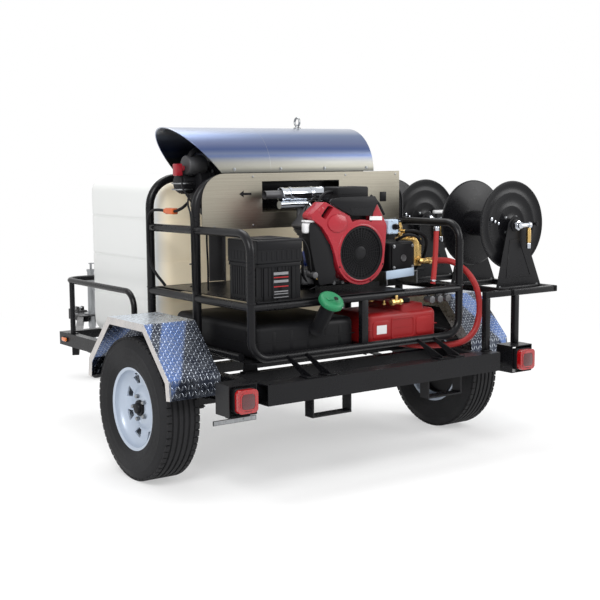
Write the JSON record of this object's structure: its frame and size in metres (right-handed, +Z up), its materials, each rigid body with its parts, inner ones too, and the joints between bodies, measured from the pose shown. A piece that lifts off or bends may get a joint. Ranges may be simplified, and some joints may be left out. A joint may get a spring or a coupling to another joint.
{
  "type": "trailer-mounted hot water pressure washer",
  "caption": "Single-axle trailer with a skid that carries an engine, belt-driven pump, burner-fired heater, water tank, fuel tanks and side hose reels.",
  "frame": {"origin": "on the ground under the middle of the outer box", "axes": "+Y along the trailer towards the hitch, +X towards the trailer's right with the hose reels, +Z up"},
  "size_m": [2.295, 3.625, 1.7378],
  "materials": {
    "black_polyethylene": "satin black",
    "black_paint": "gloss black powder coat",
    "black_casting": "satin black",
    "red_engine_cover": "gloss red",
    "pale_plate": "pale blue",
    "zinc_plate": "zinc plated",
    "green_cap": "satin green",
    "belt_rubber": "matte black",
    "grey_casting": "bare grey casting",
    "chrome": "polished",
    "red_polyethylene": "satin dark red",
    "brushed_stainless": "brushed stainless",
    "polished_stainless": "mirror polished stainless",
    "tread_plate": "bright tread plate",
    "amber_lens": "clear amber",
    "white_paint": "gloss white",
    "red_lens": "clear red",
    "tyre_rubber": "matte",
    "blue_paint": "gloss blue",
    "brass": "machined",
    "red_hose": "smooth red",
    "white_polyethylene": "satin translucent white"
  },
  "bodies": {
    "trailer": {"air_cleaner": "black_polyethylene", "axle_beam": "black_paint", "battery": "black_polyethylene", "battery_case": "black_polyethylene", "belt_guard": "black_paint", "burner": "black_casting", "burner_igniter": "red_engine_cover", "control_box": "pale_plate", "coupler": "black_paint", "diesel_tank": "black_polyethylene", "drive_belt": "belt_rubber", "engine_block": "grey_casting", "engine_deck": "black_paint", "engine_shroud": "red_engine_cover", "front_swivel": "chrome", "fuel_can": "red_polyethylene", "guard_rail": "black_paint", "heat_panel": "brushed_stainless", "heater_coil": "zinc_plate", "heater_hood": "polished_stainless", "heater_shell": "black_paint", "jack_tube": "zinc_plate", "left_fender": "tread_plate", "left_leaf_spring": "black_paint", "left_marker_light": "amber_lens", "left_tail_light": "red_lens", "muffler": "chrome", "oil_filter": "blue_paint", "pump_body": "black_casting", "pump_bracket": "zinc_plate", "pump_manifold": "brass", "rear_swivel": "chrome", "reel_stand": "black_paint", "right_fender": "tread_plate", "right_leaf_spring": "black_paint", "right_marker_light": "amber_lens", "right_tail_light": "red_lens", "skid_frame": "black_paint", "suction_hose": "red_hose", "trailer_frame": "black_paint", "water_tank": "white_polyethylene"},
    "left_wheel": {"left_tyre": "tyre_rubber", "left_rim": "white_paint"},
    "right_wheel": {"right_tyre": "tyre_rubber", "right_rim": "white_paint"},
    "jack_inner_tube": {"jack_leg": "zinc_plate"},
    "jack_caster_fork": {"jack_fork": "zinc_plate"},
    "jack_caster_wheel": {"jack_wheel": "black_polyethylene"},
    "jack_handle": {"jack_crank": "zinc_plate"},
    "hitch_latch": {"coupler_latch": "zinc_plate"},
    "reel_rear": {"rear_reel": "black_paint"},
    "reel_front": {"front_reel": "black_paint"},
    "engine_shaft": {"crankshaft": "zinc_plate", "fan_screen": "black_polyethylene"},
    "pump_shaft": {"pump_pulley": "zinc_plate"},
    "key": {"control_key": "black_polyethylene"},
    "water_lid": {"tank_lid": "black_polyethylene"},
    "diesel_filler_cap": {"diesel_cap": "green_cap"},
    "fuel_filler_cap": {"fuel_cap": "black_polyethylene"},
    "battery_cover": {"battery_lid": "black_polyethylene"}
  },
  "joints": [
    {"name": "left_wheel_turn", "type": "hinge", "parent": "trailer", "child": "left_wheel", "pos_m": [-1.0395, -1.0675, 0.344], "axis": [1, 0, 0], "continuous": true},
    {"name": "right_wheel_turn", "type": "hinge", "parent": "trailer", "child": "right_wheel", "pos_m": [0.8645, -1.0675, 0.344], "axis": [1, 0, 0], "continuous": true},
    {"name": "jack_handle_turn", "type": "hinge", "parent": "trailer", "child": "jack_handle", "pos_m": [-0.0875, 1.4825, 0.76], "axis": [0, 0, 1], "range_deg": [0, 6120]},
    {"name": "jack_leg_slide", "type": "slide", "parent": "trailer", "child": "jack_inner_tube", "axis": [0, 0, 1], "range_m": [0, 0.17]},
    {"name": "jack_fork_swivel", "type": "hinge", "parent": "jack_inner_tube", "child": "jack_caster_fork", "pos_m": [-0.0875, 1.4825, 0.18], "axis": [0, 0, 1], "continuous": true},
    {"name": "jack_wheel_turn", "type": "hinge", "parent": "jack_caster_fork", "child": "jack_caster_wheel", "pos_m": [-0.0875, 1.4425, 0.078], "axis": [1, 0, 0], "continuous": true},
    {"name": "hitch_latch_lift", "type": "hinge", "parent": "trailer", "child": "hitch_latch", "pos_m": [-0.0875, 1.6728, 0.469], "axis": [1, 0, 0], "range_deg": [0, 80]},
    {"name": "rear_reel_turn", "type": "hinge", "parent": "trailer", "child": "reel_rear", "pos_m": [0.9125, -1.4005, 1.157], "axis": [0, 1, 0], "continuous": true},
    {"name": "front_reel_turn", "type": "hinge", "parent": "trailer", "child": "reel_front", "pos_m": [0.9125, -0.7145, 1.157], "axis": [0, 1, 0], "continuous": true},
    {"name": "engine_shaft_turn", "type": "hinge", "parent": "trailer", "child": "engine_shaft", "pos_m": [-0.0295, -1.2475, 1.052], "axis": [0, 1, 0], "continuous": true},
    {"name": "pump_shaft_turn", "type": "hinge", "parent": "trailer", "child": "pump_shaft", "pos_m": [0.3625, -1.1475, 0.985], "axis": [0, 1, 0], "continuous": true},
    {"name": "key_turn", "type": "hinge", "parent": "trailer", "child": "key", "pos_m": [0.1758, -1.4488, 1.173], "axis": [0, 1, 0], "range_deg": [0, 75]},
    {"name": "water_lid_lift", "type": "slide", "parent": "trailer", "child": "water_lid", "axis": [0, 0, 1], "range_m": [0, 0.12]},
    {"name": "diesel_cap_lift", "type": "slide", "parent": "trailer", "child": "diesel_filler_cap", "axis": [0, -0.6018, 0.7986], "range_m": [0, 0.08]},
    {"name": "fuel_cap_lift", "type": "slide", "parent": "trailer", "child": "fuel_filler_cap", "axis": [0, 0, 1], "range_m": [0, 0.05]},
    {"name": "battery_cover_lift", "type": "slide", "parent": "trailer", "child": "battery_cover", "axis": [0, 0, 1], "range_m": [0, 0.15]}
  ],
  "couplings": [
    {"joint": "jack_leg_slide", "follows": "jack_handle_turn", "m_per_rad": 0.0015915},
    {"joint": "pump_shaft_turn", "follows": "engine_shaft_turn", "ratio": 0.6}
  ]
}
